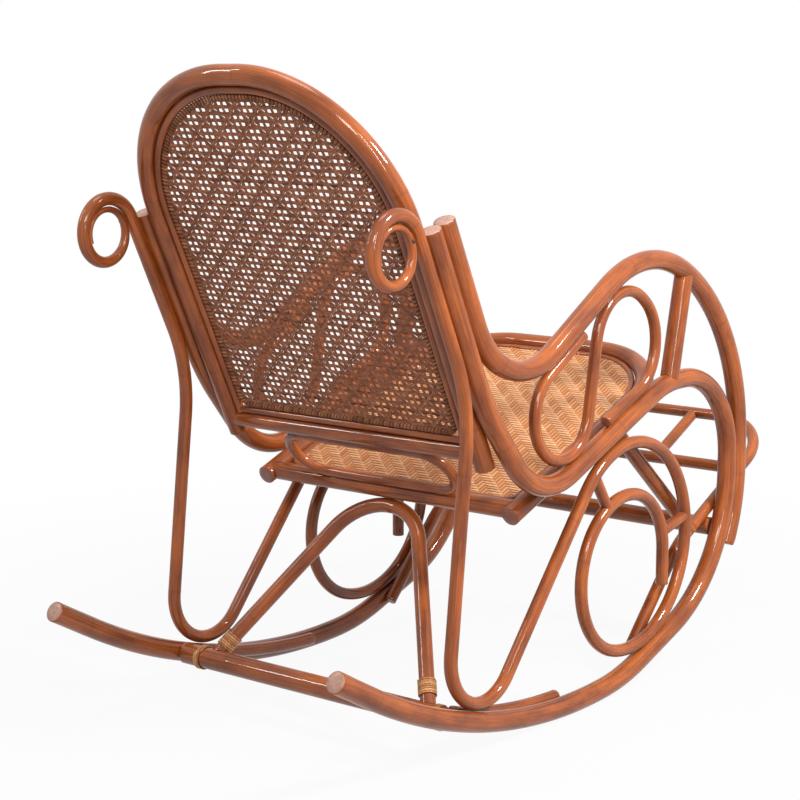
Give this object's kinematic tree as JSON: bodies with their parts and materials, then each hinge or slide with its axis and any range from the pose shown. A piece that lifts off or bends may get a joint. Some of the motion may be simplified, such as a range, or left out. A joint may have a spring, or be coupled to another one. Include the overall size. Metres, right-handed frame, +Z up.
{
  "type": "rocking chair",
  "caption": "Rattan rocking chair with curved runners, coiled side frames, woven seat, arched open-cane back and a fixed slatted footrest.",
  "frame": {"origin": "on the floor, under the middle of the chair's length and width", "axes": "+Z up, the sitter faces -Y, +X is the sitter's left"},
  "size_m": [0.571, 1.2202, 0.9645],
  "materials": {
    "rattan": "gloss lacquered red-brown rattan pole",
    "cane_binding": "satin split cane",
    "edge_wrap": "satin split cane wound side by side",
    "seat_weave": "satin golden herringbone cane weave",
    "back_cane": "satin open cane weave",
    "nail_steel": "dull nail head"
  },
  "bodies": {
    "root": {"arch_binding_left": "cane_binding", "arch_binding_right": "cane_binding", "arm_pole_left": "rattan", "arm_pole_right": "rattan", "arm_scroll_left": "rattan", "arm_scroll_right": "rattan", "arm_strut_left": "rattan", "arm_strut_right": "rattan", "back_bottom_rail": "rattan", "back_edge_binding": "edge_wrap", "back_hoop": "rattan", "back_inner_hoop": "rattan", "back_inner_rail": "rattan", "back_panel": "back_cane", "coil_spacer_front_left": "rattan", "coil_spacer_front_right": "rattan", "coil_spacer_upper_left": "rattan", "coil_spacer_upper_right": "rattan", "footrest_bar": "rattan", "footrest_brace_left": "rattan", "footrest_brace_right": "rattan", "footrest_frame": "rattan", "footrest_rail": "rattan", "footrest_slat_left": "rattan", "footrest_slat_right": "rattan", "leg_pole_left": "rattan", "leg_pole_right": "rattan", "rear_arch": "rattan", "rear_stretcher": "rattan", "ring_nails": "nail_steel", "rocker_pole_left": "rattan", "rocker_pole_right": "rattan", "runner_doubler_left": "rattan", "runner_doubler_right": "rattan", "seat_back_oval": "rattan", "seat_bead": "rattan", "seat_frame": "rattan", "seat_panel": "seat_weave", "seat_rear_rail": "rattan", "stretcher_binding_left": "cane_binding", "stretcher_binding_right": "cane_binding"}
  },
  "joints": []
}
